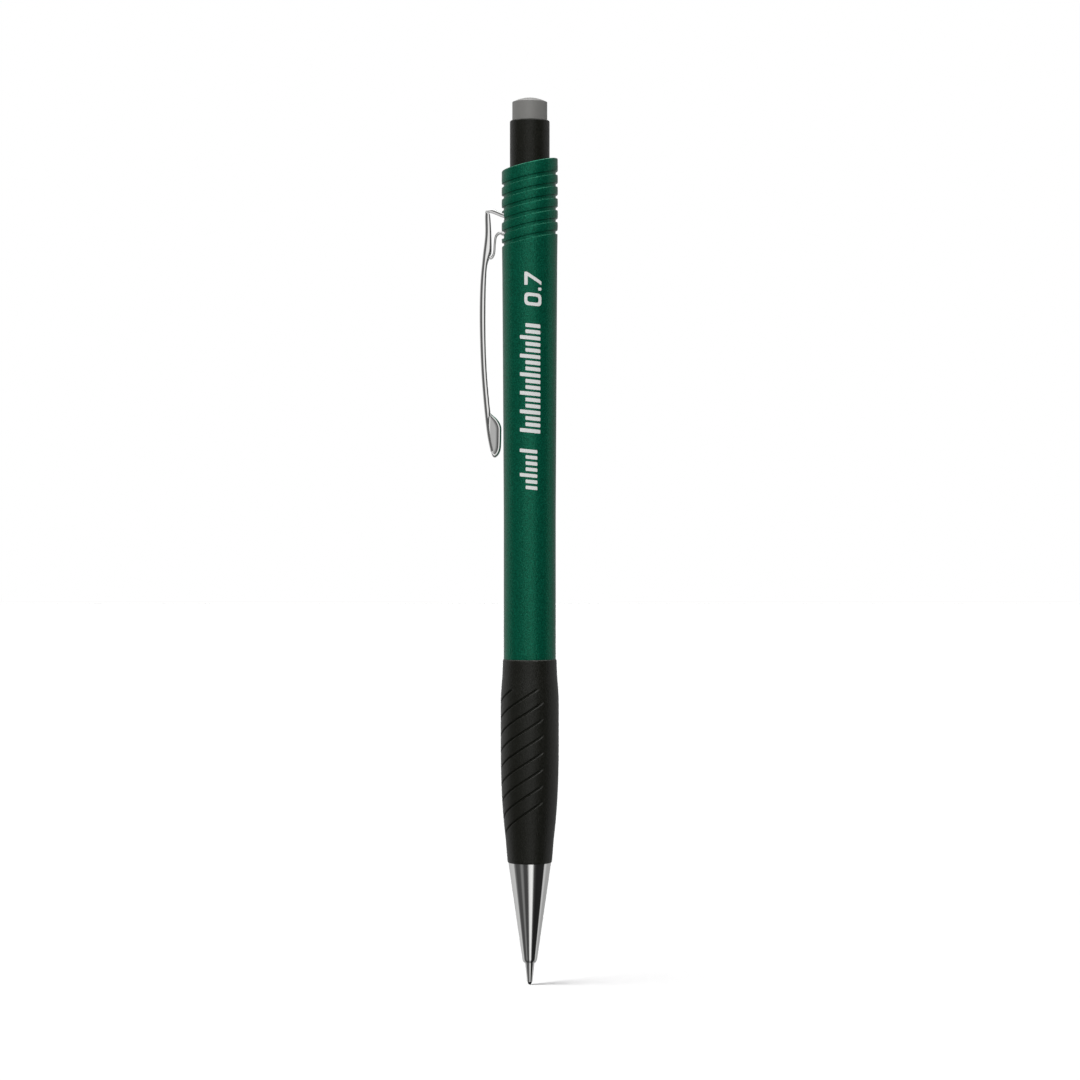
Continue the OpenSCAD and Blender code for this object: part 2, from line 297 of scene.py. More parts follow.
def moulded_white():
    s = Shader("moulded_white", (0.78, 0.78, 0.75), 0.45, Subsurface_Weight=0.1, Subsurface_Scale=0.0008)
    s.vary_color(s.noise(400, 3), (0.75, 0.75, 0.72), (0.8, 0.8, 0.78))
    s.vary_roughness(s.noise(1500, 2), 0.4, 0.52)
    return s.material


def reservoir_plastic():
    s = Shader("reservoir_plastic", (0.7, 0.74, 0.74), 0.32)
    s.vary_color(s.noise(300, 2, (1, 1, 0.1)), (0.67, 0.71, 0.71), (0.73, 0.77, 0.77))
    s.vary_roughness(s.noise(900, 3, (1, 1, 0.1)), 0.26, 0.4)
    return s.material


def graphite():
    s = Shader("graphite", (0.035, 0.035, 0.038), 0.38, 0.35)
    s.vary_color(s.noise(2600, 3), (0.028, 0.028, 0.03), (0.05, 0.05, 0.054))
    s.vary_roughness(s.noise(3000, 2), 0.3, 0.5)
    return s.bump(s.noise(5200, 2), 0.004, 0.5).material


def soft_black():
    s = Shader("soft_black", (0.012, 0.012, 0.012), 0.6)
    s.vary_roughness(s.noise(1500, 2), 0.52, 0.7)
    return s.bump(s.noise(2500, 2), 0.006, 0.5).material


def white_print():
    s = Shader("white_print", (0.95, 0.95, 0.94), 0.5)
    s.vary_color(s.noise(3500, 3), (0.92, 0.93, 0.92), (0.98, 0.98, 0.97))
    s.vary_roughness(s.noise(3000, 2), 0.45, 0.6)
    return s.material


GREEN = satin_green()
RUBBER = grip_rubber()
BLACK = black_plastic()
ERASER = eraser_rubber()
CHROME = chrome()
STEEL = bright_steel()
GRAPHITE = graphite()
PRINT = white_print()
SPRING = spring_wire()


# ---------------------------------------------------------------- barrel
SPIGOT_R = 3.3                         # outside of the barrel's tube under the grip
SOCKET_R = 2.9                         # socket that the nose cone screws into
SOCKET_TOP_Z = 28.5
HOUSING_SEAT_R = 2.52                  # bore that holds the clutch housing
HOUSING_TOP_Z = 36
WAIST_R = 2.35                         # narrow bore round the reservoir
WAIST_TOP_Z = 60
SHOULDER_Z = 120                       # shoulder below the push button's bore
LEG_SLOT = (127.5, 1.3)                # height and opening of the slot that the clip's leg enters
TONGUE_SLOT = (124.3, 1.2)             # and of the tongue's
GROOVE_COUNT = 6
GROOVE_PITCH = 1.96
GROOVE_FIRST_Z = TOP_Z - 2.47
GROOVE_DEPTH = 0.32
GROOVE_HALF = 0.3                      # half the width of a groove between its two edges
LEAN_BAND = (108, 121)                 # between these heights the rows of vertices begin to lean
BORE_LEVEL_Z = 130                     # and the bore stays level up to here
BARREL_LOW_R = 4.32
BARREL_TOP_R = high("barrel").x
BUTTON_R = high("push_button").x
BUTTON_BORE_R = BUTTON_R + 0.1
TUBE_BORE_R = BUTTON_BORE_R - 0.3      # bore below the push button's own
JOINT_Z = high("grip_sleeve").z
FRONT_Z = low("barrel").z
# How much of the barrel's widening is reached at each height
TAPER = ((JOINT_Z, 0), (78, 0), (104, 0.45), (119, 0.73), (126, 1))
# (height, share of the depth) up a groove's rounded lower lip, from its lower edge, and up its sharper
# upper edge, from that edge
GROOVE_LOWER = ((-0.16, 0), (-0.1, 0.03), (-0.05, 0.12), (-0.01, 0.33), (0.01, 0.7), (0.03, 0.93),
                (0.07, 1))
GROOVE_UPPER = ((-0.06, 1), (-0.02, 0.93), (0, 0.6), (0.01, 0.25), (0.03, 0.07), (0.08, 0))


def barrel_radius(z):
    """Radius of the plain barrel: parallel at first, then widening to the ribbed end."""
    for (z0, s0), (z1, s1) in zip(TAPER, TAPER[1:]):
        if z <= z1:
            share = s0 + (s1 - s0) * max(0, z - z0) / (z1 - z0)
            return BARREL_LOW_R + share * (BARREL_TOP_R - BARREL_LOW_R)
    return BARREL_TOP_R


def barrel_lean(r, a, z):
    """Rows near the top lean with the oblique rim. Those below them and the bore's shoulder are level."""
    in_bore = r <= BUTTON_BORE_R and z < BORE_LEVEL_Z
    lean = 0 if in_bore else smoothstep(z, *LEAN_BAND)
    return r, z + r * math.cos(a) * TILT * lean


def groove_profile(centre):
    """The outside's points up one groove, with a flat floor between its edges."""
    rows = [(centre - GROOVE_HALF + h, share) for h, share in GROOVE_LOWER]
    rows += [(centre + GROOVE_HALF + h, share) for h, share in GROOVE_UPPER]
    return [(barrel_radius(z) - GROOVE_DEPTH * share, z) for z, share in rows]


def make_barrel():
    """The barrel: the tube under the grip, the outside with its grooves, the oblique rim and the bores."""
    outer = [(SPIGOT_R + 0.03, FRONT_Z), (SPIGOT_R, FRONT_Z + 0.1), (SPIGOT_R, JOINT_Z),
             (BARREL_LOW_R - 0.07, JOINT_Z), (BARREL_LOW_R - 0.02, JOINT_Z + 0.02),
             (BARREL_LOW_R, JOINT_Z + 0.08)]
    z = JOINT_Z + 1
    lowest = GROOVE_FIRST_Z - (GROOVE_COUNT - 1) * GROOVE_PITCH
    while z < lowest - 1:
        outer.append((barrel_radius(z), z))
        z += 1.5
    for i in reversed(range(GROOVE_COUNT)):
        centre = GROOVE_FIRST_Z - i * GROOVE_PITCH
        outer += groove_profile(centre)
        outer.append((BARREL_TOP_R + 0.02, centre + GROOVE_PITCH / 2))
    rim = rounded([(BARREL_TOP_R, TOP_Z - 1), (BARREL_TOP_R, TOP_Z), (BUTTON_BORE_R, TOP_Z),
                   (BUTTON_BORE_R, TOP_Z - 1)], {1: 0.28, 2: 0.12}, 5)
    bore = [(BUTTON_BORE_R, SHOULDER_Z + rise) for rise in (12, 8, 4, 0)]
    bore += [(TUBE_BORE_R, SHOULDER_Z - 0.2), (TUBE_BORE_R, WAIST_TOP_Z), (WAIST_R, WAIST_TOP_Z - 0.5),
             (WAIST_R, HOUSING_TOP_Z), (HOUSING_SEAT_R, HOUSING_TOP_Z), (HOUSING_SEAT_R, SOCKET_TOP_Z),
             (SOCKET_R, SOCKET_TOP_Z), (SOCKET_R, FRONT_Z)]
    verts, faces = lathe(outer + rim + bore, 176, barrel_lean)
    barrel = make_piece("barrel_shell", "barrel_body", verts, faces, GREEN, "barrel", 40)
    cut_slots(barrel, (LEG_SLOT, TONGUE_SLOT))
    return barrel


# A box's faces, where its corners run through z first, then y, then x
BOX_FACES = ((0, 1, 3, 2), (4, 6, 7, 5), (0, 4, 5, 1), (2, 3, 7, 6), (0, 2, 6, 4), (1, 5, 7, 3))


def cut_slots(barrel, slots):
    """Opens the two slots that the clip's leg and tongue pass through."""
    width = high("pocket_clip").y * 2 + 0.3
    verts, faces = [], []
    for z, h in slots:
        base = len(verts)
        for x in (-BARREL_TOP_R - 1, 1 - BUTTON_BORE_R):
            for y in (-width / 2, width / 2):
                verts += [(x, y, z - h / 2), (x, y, z + h / 2)]
        faces += [tuple(base + k for k in f) for f in BOX_FACES]
    mesh = bpy.data.meshes.new("slot_cutter")
    mesh.from_pydata([tuple(c * MM for c in v) for v in verts], [], faces)
    cutter = add_object("slot_cutter", mesh)
    cut = barrel.modifiers.new("slots", "BOOLEAN")
    cut.object = cutter
    cut.operation = "DIFFERENCE"
    cut.solver = "EXACT"
    bpy.context.view_layer.update()
    depsgraph = bpy.context.evaluated_depsgraph_get()
    done = bpy.data.meshes.new_from_object(barrel.evaluated_get(depsgraph), depsgraph=depsgraph)
    barrel.modifiers.clear()
    barrel.data = done
    bpy.data.objects.remove(cutter)


# ---------------------------------------------------------------- printed marks
PRINT_LIFT = 0.012                     # how far the print stands out of the barrel, and reaches into it
PRINT_CUT = 0.25                       # the print is cut at this pitch round the barrel, so that it bends
PRINT_LEAN = -0.1                      # how far digits and bars lean, for each millimetre round the barrel
DIGIT_TOP, DIGIT_FOOT = -0.88, 1.98    # where the digits' tops and feet lie, round the barrel
NOUGHT_U = 113.4                       # height of the nought's middle
POINT_U = (114.85, 115.35)             # heights of the point's two sides
SEVEN_U = (115.8, 117.95)              # and of the seven's
# name, lowest bar, number of bars, pitch, width, where the bars' feet lie, and their lengths in turn
BAR_ROWS = (
    ("large_bars", 91.3, 18, 1.02, 0.62, 1.8, (3.45, 2.5, 2.5)),
    ("small_bars", 82, 7, 1.0, 0.58, 1.28, (1.95, 1.95, 2.95, 1.95)),
)


def print_patch(shapes, name):
    """Joins flat shapes into one thin shell that lies on the barrel's front.

    A shape is an outline, and where it has one its hole, of points (along the barrel, round it)."""
    work = bmesh.new()
    for shape in shapes:
        loops = [[Vector((u, v, 0)) for u, v in loop] for loop in shape]
        made = [work.verts.new(p) for loop in loops for p in loop]
        for tri in tessellate_polygon(loops):
            work.faces.new([made[k] for k in tri])
    reach = math.ceil(BARREL_TOP_R / PRINT_CUT)
    for i in range(-reach, reach + 1):
        geometry = work.verts[:] + work.edges[:] + work.faces[:]
        bmesh.ops.bisect_plane(work, geom=geometry, plane_co=(0, i * PRINT_CUT, 0), plane_no=(0, 1, 0))
    bmesh.ops.triangulate(work, faces=work.faces[:])
    bmesh.ops.recalc_face_normals(work, faces=work.faces[:])
    if sum(f.normal.z * f.calc_area() for f in work.faces) < 0:
        bmesh.ops.reverse_faces(work, faces=work.faces[:])
    extruded = bmesh.ops.extrude_face_region(work, geom=work.faces[:])
    lifted = {g for g in extruded["geom"] if isinstance(g, bmesh.types.BMVert)}
    for v in work.verts:
        z, across = v.co.x, v.co.y
        r = barrel_radius(z) + (PRINT_LIFT if v in lifted else -PRINT_LIFT)
        a = math.radians(FRONT) + across / barrel_radius(z)
        v.co = Vector((r * math.cos(a), r * math.sin(a), z)) * MM
    bmesh.ops.recalc_face_normals(work, faces=work.faces[:])
    mesh = bpy.data.meshes.new(name)
    work.to_mesh(mesh)
    work.free()
    add_piece(name, "barrel_body", mesh, PRINT)


def bar(start, end, left, right, slant, radius):
    """A bar with rounded corners, from start to end along the barrel, leaning by slant."""
    corners = [(start, left), (end, left), (end + slant, right), (start + slant, right)]
    return rounded(corners, {i: radius for i in range(4)}, 5)


def oval(centre, half_along, half_across, corner):
    """A rounded box outline that leans, for the ring of a nought."""
    u, v = centre
    corners = [(u - half_along, v - half_across), (u + half_along, v - half_across),
               (u + half_along, v + half_across), (u - half_along, v + half_across)]
    outline = rounded(corners, {i: corner for i in range(4)}, 8)
    return [(a + PRINT_LEAN * (b - v), b) for a, b in outline]


def make_print():
    """The lead size, 0.7, and below it two plain rows of slanted bars."""
    top, foot = DIGIT_TOP, DIGIT_FOOT
    middle = (NOUGHT_U, (top + foot) / 2)
    half = (foot - top) / 2
    nought = [oval(middle, 1.05, half, 0.75), oval(middle, 0.5, half - 0.5, 0.42)]
    point = [bar(*POINT_U, foot - 0.55, foot, 0, 0.12)]
    start, end = SEVEN_U
    corners = [(start, top), (end, top), (end, top + 0.45), (start + 0.55, foot), (start - 0.05, foot),
               (end - 0.7, top + 0.55), (start, top + 0.55)]
    seven = [rounded(corners, {i: 0.08 for i in range(len(corners))}, 3)]
    print_patch([nought, point, seven], "lead_size_mark")
    for name, lowest, count, pitch, width, feet, lengths in BAR_ROWS:
        bars = []
        for i in range(count):
            tall = lengths[i % len(lengths)]
            at = lowest + i * pitch - PRINT_LEAN * tall
            bars.append([bar(at, at + width, feet - tall, feet, PRINT_LEAN * tall, 0.16)])
        print_patch(bars, name)


# ---------------------------------------------------------------- grip
# (height, radius) up the grip
GRIP_STATIONS = ((20.3, 3.6), (20.42, 3.68), (20.8, 3.72), (21.6, 3.79), (24, 3.99), (27.3, 4.33),
                 (30.6, 4.58), (33.9, 4.73), (38.1, 4.81), (42.6, 4.82), (47.2, 4.81), (49, 4.73),
                 (51.4, 4.55), (53.4, 4.47), (53.85, 4.45), (54.0, 4.36))
GRIP_LOW_Z, GRIP_TOP_Z = GRIP_STATIONS[0][0], GRIP_STATIONS[-1][0]
GRIP_BORE_R = SPIGOT_R + 0.03
SLIT_RISE = 2.96                       # how far a slit climbs in one radian
SLIT_PITCH = 2.74
SLIT_BASE_Z = 24.55                    # the lowest slit, where it passes the clip's side of the grip
SLIT_HALF = 0.16
SLIT_DEPTH = 0.3
SLIT_ENDS = (math.radians(60), math.radians(300))
SLIT_BAND = (24.4, 49.4)               # heights between which the grip has slits
SLIT_FADE = (0.16, 0.6)                # how far a slit takes to run out, in radians and in height


def grip_radius(z):
    """The grip's radius, on a smooth curve through its stations."""
    last = len(GRIP_STATIONS) - 1
    for i in range(last):
        if z <= GRIP_STATIONS[i + 1][0] or i == last - 1:
            (za, ra), (zb, rb), (zc, rc), (zd, rd) = (
                GRIP_STATIONS[min(max(k, 0), last)] for k in (i - 1, i, i + 1, i + 2))
            t = min(1, max(0, (z - zb) / (zc - zb)))
            slope_b = (rc - ra) / (zc - za)
            slope_c = (rd - rb) / (zd - zb)
            h = zc - zb
            return ((2 * t ** 3 - 3 * t * t + 1) * rb + (t ** 3 - 2 * t * t + t) * h * slope_b
                    + (3 * t * t - 2 * t ** 3) * rc + (t ** 3 - t * t) * h * slope_c)


def slit_depth(a, z):
    """How deep the grip is cut at this place: thin slits that climb round it and fade out at their ends."""
    fade = 1
    for at, (start, end), length in zip((a, z), (SLIT_ENDS, SLIT_BAND), SLIT_FADE):
        fade = min(fade, smoothstep(at, start, start + length), 1 - smoothstep(at, end - length, end))
    if fade == 0:
        return 0
    offset = z - SLIT_BASE_Z - SLIT_RISE * (a - math.pi)
    number = round(offset / SLIT_PITCH)
    away = abs(offset - number * SLIT_PITCH) / SLIT_HALF
    return SLIT_DEPTH * fade * math.exp(-away ** 4 * 1.2) if number >= 0 and away < 2 else 0


def grip_surface(r, a, z):
    """Cuts the slits into the outside, and leaves the bore as it is."""
    in_bore = r < GRIP_BORE_R + 0.07
    return (r if in_bore else r - slit_depth(a, z)), z


def make_grip():
    """The rubber grip, with rows close enough together for its slits."""
    rows = [GRIP_LOW_Z + rise for rise in (0, 0.05, 0.12, 0.25)]
    z = GRIP_LOW_Z + 0.5
    while z < GRIP_TOP_Z - 0.4:
        rows.append(z)
        z += 0.07 if SLIT_BAND[0] < z < SLIT_BAND[1] else 0.5
    rows += [GRIP_TOP_Z - drop for drop in (0.3, 0.15, 0.06, 0)]
    outer = [(grip_radius(z), z) for z in rows]
    inner = [(GRIP_BORE_R + 0.01, GRIP_TOP_Z), (GRIP_BORE_R, GRIP_TOP_Z - 0.1), (GRIP_BORE_R, 40),
             (GRIP_BORE_R, GRIP_LOW_Z + 0.1), (GRIP_BORE_R + 0.01, GRIP_LOW_Z)]
    verts, faces = lathe(outer + inner, 248, grip_surface)
    return make_piece("grip_skin", "barrel_body", verts, faces, RUBBER, "grip_sleeve", 60)


# ---------------------------------------------------------------- nose, tip and lead
PIPE_R = 0.78
PIPE_BORE_R = 0.37
PIPE_TAPER_Z = 3.65                    # above this the tip pipe is parallel
MOUTH_R = PIPE_R + 0.05                # bore of the nose cone's mouth
CONE_TOP_R = 3.55
RIDGE_R, ROOT_R = 2.87, 2.76           # crests and roots of the nose cone's ridged spigot
RIDGE_PITCH = 0.7
# (radius, upper end) of each step of the nose cone's bore, from the top down
NOSE_BORES = ((HOUSING_SEAT_R + 0.01, 27.5), (2.25, 19.4), (1.95, 18.2), (1.3, 13.4), (MOUTH_R, 7))
# (radius, height) up the lead's worn end
LEAD_END = ((0, 0), (0.1, 0.01), (0.17, 0.05), (0.24, 0.12), (0.3, 0.21), (0.335, 0.3), (0.35, 0.42))


def make_nose():
    """The chromed cone, with its ridged spigot and its stepped bore."""
    mouth_z = low("nose_cone").z
    outer = rounded([(MOUTH_R, mouth_z), (0.99, mouth_z), (1.21, mouth_z + 0.38), (CONE_TOP_R, GRIP_LOW_Z),
                     (RIDGE_R, GRIP_LOW_Z), (2.78, GRIP_LOW_Z + 0.2)], {1: 0.04, 2: 0.12, 3: 0.05}, 4)
    spigot_top_z = NOSE_BORES[0][1]
    z = GRIP_LOW_Z + 0.9
    while z < spigot_top_z - RIDGE_PITCH:
        outer += [(ROOT_R, z), (RIDGE_R, z + 0.2), (RIDGE_R, z + 0.3), (ROOT_R, z + 0.5)]
        z += RIDGE_PITCH
    bore = [(ROOT_R - 0.02, spigot_top_z), NOSE_BORES[0]]
    for (wide, _), (narrow, step_z) in zip(NOSE_BORES, NOSE_BORES[1:]):
        bore += [(wide, step_z), (narrow, step_z)]
    verts, faces = lathe(outer + bore, 160)
    make_piece("nose_cone_chrome", "barrel_body", verts, faces, CHROME, "nose_cone", 30)


def make_tip():
    """The tapered pipe that guides the lead."""
    end_z, top_z = low("tip_sleeve").z, high("tip_sleeve").z
    profile = rounded([(PIPE_BORE_R, end_z + 0.02), (PIPE_BORE_R + 0.07, end_z), (PIPE_R, PIPE_TAPER_Z),
                       (PIPE_R, top_z), (PIPE_BORE_R, top_z)], {0: 0.02, 1: 0.05, 2: 0.3, 3: 0.05}, 4)
    verts, faces = lathe(profile, 96)
    return make_piece("tip_pipe", "tip", verts, faces, CHROME, "tip_sleeve", 40)


def make_lead():
    """The lead in use, with a writing end that is worn round."""
    top_z = high("writing_lead").z
    lead_r = LEAD_END[-1][0]
    profile = [*LEAD_END, (lead_r, top_z - 0.03), (lead_r - 0.03, top_z), (0, top_z)]
    verts, faces = lathe(dense(profile, 4), 48, closed=False)
    return make_piece("lead_in_use", "lead", verts, faces, GRAPHITE, "writing_lead", 40)


# ---------------------------------------------------------------- push button and eraser
CAP_Z = 137.4                          # above this the button stands clear of the barrel
TUBE_SOCKET_R = 2.11                   # the button's lower bore, which takes the reservoir
POCKET_R = 2.95                        # the upper bore, which takes the eraser's cup
FLOOR_R = 1.8                          # the hole in the floor between them
FLOOR_Z, FLOOR_TOP_Z = 131.5, 133
ERASER_STEM_R = 2.3
ERASER_HEAD_Z = high("eraser_holder").z
ERASER_DOME = 0.73


def make_button():
    """The push button, a tube with a floor across its middle."""
    top_z, low_z = high("push_button").z, low("push_button").z
    profile = rounded([(TUBE_SOCKET_R, low_z), (BUTTON_R - 0.1, low_z), (BUTTON_R - 0.03, 131),
                       (BUTTON_R, CAP_Z), (BUTTON_R, top_z), (POCKET_R, top_z), (POCKET_R, FLOOR_TOP_Z),
                       (FLOOR_R, FLOOR_TOP_Z), (FLOOR_R, FLOOR_Z), (TUBE_SOCKET_R, FLOOR_Z)],
                      {1: 0.15, 4: 0.32, 5: 0.08, 0: 0.1}, 6)
    verts, faces = lathe(profile, 144)
    return make_piece("push_button_cap", "plunger", verts, faces, BLACK, "push_button", 40)


def make_eraser():
    """The eraser, with a stem in its cup and a slightly domed top."""
    low_z, top_z, head_r = low("eraser").z, high("eraser").z, high("eraser").x
    edge = 0.05
    side = [(0, low_z), (ERASER_STEM_R, low_z), (ERASER_STEM_R, ERASER_HEAD_Z), (head_r, ERASER_HEAD_Z),
            (head_r, top_z - ERASER_DOME), (0, top_z)]
    profile = rounded(side, {1: 0.15, 2: 0.05, 3: 0.08, 4: edge}, 5)[:-1]
    steps = 16
    for k in range(1, steps + 1):
        share = 1 - k / steps
        profile.append(((head_r - edge) * share, top_z - ERASER_DOME * share * share))
    verts, faces = lathe(profile[:1] + dense(profile[1:], 1), 128, closed=False)
    return make_piece("eraser_plug_rubber", "eraser_plug", verts, faces, ERASER, "eraser",
                      50)


# ---------------------------------------------------------------- pocket clip
# Points in the XZ plane: the middle of the sheet from the end of its leg down the face, the edges of the
# flanges, the tongue, and the outline of the foot
CLIP_FACE = [(-3.75, 127.45), (-4.7, 127.8), (-6.2, 128.4), (-6.9, 128.35), (-7.2, 127.6), (-7.2, 124.3),
             (-7.6, 120.6), (-8, 116), (-8.1, 110), (-7.9, 103), (-7.5, 97.3), (-6.9, 91.6), (-6.3, 88.5)]
CLIP_EDGE = [(-6.6, 127.9), (-6.45, 126), (-6.35, 122), (-6.65, 121), (-7.15, 119), (-7.35, 114),
             (-7.35, 107), (-7.1, 101), (-6.6, 95.3), (-6.0, 91)]
CLIP_TONGUE = [(-7.3, 122.5), (-7.15, 121.3), (-6.5, 120.6), (-5.95, 121.3), (-5.8, 123), (-5.6, 124.2),
               (-5, 124.75), (-4.5, 124.55), (-3.75, 124.25)]
CLIP_FOOT = [(-6.8, 95.1), (-6.3, 94.6), (-5.4, 93.8), (-4.77, 92.7), (-4.72, 91.4), (-4.77, 89.5),
             (-4.9, 88.6), (-5.25, 87.9), (-5.8, 87.5), (-6.25, 87.85), (-6.5, 89.2), (-6.9, 91.9)]
CLIP_T = 0.4
CLIP_BEND = 0.45                       # outer radius of the bends between the face and its flanges
EDGE_BEND = 0.15                       # and of the leg's edges, where there are no flanges
FOOT_LEAN = 0.045                      # how much wider the foot gets towards the barrel
FOOT_MIDDLE = Vector((-6.3, 91))       # the cheek's rim narrows towards this point, near the face
FOOT_STRIP = 0.5                       # depth of the face's flanges where the foot takes their place
FOOT_BLEND = (93.2, 94.8)              # heights between which the flanges give way to the foot
LEG_LOW_Z, LEG_X = 127.9, -6.3         # above this height, or nearer the barrel, the sheet is flat
# (share of the outline's size, depth below the clip's side) from the foot's edge over its rim into its dish
FOOT_RINGS = ((1, 0.34), (0.985, 0.24), (0.965, 0.19), (0.955, 0.175), (0.86, 0.05), (0.85, 0.04),
              (0.835, 0.035), (0.71, 0.028), (0.7, 0.03), (0.69, 0.045), (0.68, 0.06), (0.67, 0.062),
              (0.4, 0.062), (0.15, 0.062))


def make_clip():
    """The sheet-steel clip: a channel-shaped face with its bent leg, a tongue and a pressed foot."""
    half_w = high("pocket_clip").y
    verts, faces = [], []
    face = curve_through(CLIP_FACE, 8)
    edge = curve_through(CLIP_EDGE, 12)
    sweep(face, [channel(half_w, flange_depth(p, edge)) for p in face], verts, faces)
    tongue = curve_through(CLIP_TONGUE, 7)
    sweep(tongue, [flat_section(CLIP_T * 0.8, half_w - 1.5 * CLIP_T)] * len(tongue), verts, faces)
    make_foot(half_w - 0.02, verts, faces)
    clip = make_piece("clip_sheet", "clip", verts, faces, STEEL, "pocket_clip", 38)
    # Light off the clip would put a hard bright patch on the barrel
    clip.visible_glossy = False
    clip.visible_diffuse = False


def sweep(path, rims, verts, faces):
    """Joins one ring for each point of a path in the XZ plane.

    A ring's points are (out of the face, along Y)."""
    start = len(verts)
    count = len(rims[0])
    for i, p in enumerate(path):
        along = (path[min(i + 1, len(path) - 1)] - path[max(i - 1, 0)]).normalized()
        out = Vector((along.y, -along.x))
        for n, y in rims[i]:
            q = p + out * n
            verts.append((q.x, y, q.y))
    for i in range(len(path) - 1):
        for k in range(count):
            m = (k + 1) % count
            a, b = start + i * count, start + (i + 1) * count
            faces.append((a + m, b + m, b + k, a + k))
    faces.append(tuple(start + k for k in reversed(range(count))))
    last = start + (len(path) - 1) * count
    faces.append(tuple(last + k for k in range(count)))


def flat_section(t, half_w):
    """A strip's section, with rounded long edges."""
    e = t * 0.3
    one_side = [(-t / 2, -half_w + e), (-t / 2 + e * 0.3, -half_w + e * 0.3), (-t / 2 + e, -half_w),
                (t / 2 - e, -half_w), (t / 2 - e * 0.3, -half_w + e * 0.3), (t / 2, -half_w + e)]
    return one_side + [(n, -y) for n, y in reversed(one_side)]


def channel(half_w, depth):
    """The face's section, with round bends to two flanges that reach depth below the face."""
    t = CLIP_T
    top = t / 2
    bend = EDGE_BEND if depth <= CLIP_T else min(CLIP_BEND, depth - 0.03)
    outer, inner = [], []
    for k in range(8):
        a = math.radians(90 * k / 7)
        outer.append((top - bend + bend * math.cos(a), -half_w + bend * (1 - math.sin(a))))
        small = max(bend - t, 0.05)
        inner.append((top - t - small + small * math.cos(a), -half_w + t + small * (1 - math.sin(a))))
    end = top - max(depth, bend + 0.02)
    splay = 0.05 * (top - bend - end)
    edge_y = -half_w + splay
    outer += [(end + 0.1, edge_y), (end + 0.02, edge_y + 0.04), (end, edge_y + 0.12)]
    lip = [(end, -half_w + t - 0.12), (end + 0.02, -half_w + t - 0.04), (end + 0.1, -half_w + t)]
    one_side = inner + list(reversed(outer + lip))
    return one_side + [(n, -y) for n, y in reversed(one_side)]


def flange_depth(p, edge):
    """How deep the channel is at this point of the face, from its outer side to the flanges' edges."""
    in_leg = p.y > LEG_LOW_Z or (p.x > LEG_X and p.y > FOOT_BLEND[1])
    if in_leg:
        return CLIP_T
    nearest = min(edge, key=lambda e: abs(e.y - p.y))
    depth = max(CLIP_T, nearest.x - p.x + CLIP_T / 2)
    return FOOT_STRIP + (depth - FOOT_STRIP) * smoothstep(p.y, *FOOT_BLEND)


def make_foot(half_w, verts, faces):
    """The closed foot, with a dished cheek pressed into each side."""
    outline = curve_through(CLIP_FOOT + CLIP_FOOT[:1], 5)[:-1]
    one_side = [(scale, -half_w + dip) for scale, dip in FOOT_RINGS]
    rings = list(reversed(one_side)) + [(scale, -y) for scale, y in one_side]
    start, count = len(verts), len(outline)
    for scale, y in rings:
        for p in outline:
            along = 1 - 0.4 * (1 - scale)
            q = FOOT_MIDDLE + Vector(((p.x - FOOT_MIDDLE.x) * scale, (p.y - FOOT_MIDDLE.y) * along))
            lean = FOOT_LEAN * (q.x - FOOT_MIDDLE.x - 0.6)
            verts.append((q.x, y + lean if y > 0 else y - lean, q.y))
    for i in range(len(rings) - 1):
        for k in range(count):
            m = (k + 1) % count
            a, b = start + i * count, start + (i + 1) * count
            faces.append((a + k, a + m, b + m, b + k))
    faces.append(tuple(start + k for k in reversed(range(count))))
    last = start + (len(rings) - 1) * count
    faces.append(tuple(last + k for k in range(count)))


# ---------------------------------------------------------------- return spring
WIRE_R = 0.16
COIL_R = 1.75
SPRING_TURNS = 8


def make_spring():
    """The coil spring, built at the length of the CAD spring; in the pencil the push button squashes it."""
    bottom, top = low("return_spring").z, high("return_spring").z
    per_turn, sides = 40, 10
    steps = SPRING_TURNS * per_turn
    verts, faces = [], []
    for i in range(steps + 1):
        a = 2 * math.pi * i / per_turn
        z = bottom + WIRE_R + (top - bottom - 2 * WIRE_R) * i / steps
        for k in range(sides):
            b = 2 * math.pi * k / sides
            r = COIL_R + WIRE_R * math.cos(b)
            verts.append((r * math.cos(a), r * math.sin(a), z + WIRE_R * math.sin(b)))
    for i in range(steps):
        for k in range(sides):
            m = (k + 1) % sides
            a, b = i * sides, (i + 1) * sides
            faces.append((a + k, b + k, b + m, a + m))
    faces.append(tuple(range(sides)))
    faces.append(tuple(steps * sides + k for k in reversed(range(sides))))
    spring = make_piece("coil_spring", "barrel_body", verts, faces, SPRING, "return_spring",
                        60)
    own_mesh(spring)


# ---------------------------------------------------------------- pieces kept from the CAD
def dress_cad():
    """Gives the inner pieces, which keep their CAD shapes, materials of their own."""
    finishes = (
        (turned_brass(), ("chuck_body", "chuck_jaw_1", "chuck_jaw_2", "chuck_jaw_3", "clutch_ring")),
        (moulded_white(), ("clutch_housing", "tip_slider", "tube_connector", "eraser_holder")),
        (reservoir_plastic(), ("lead_reservoir",)),
        (soft_black(), ("lead_retainer",)),
        (GRAPHITE, ("spare_leads",)),
    )
    for material, nodes in finishes:
        for node in nodes:
            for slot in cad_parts[node].material_slots:
                slot.material = material


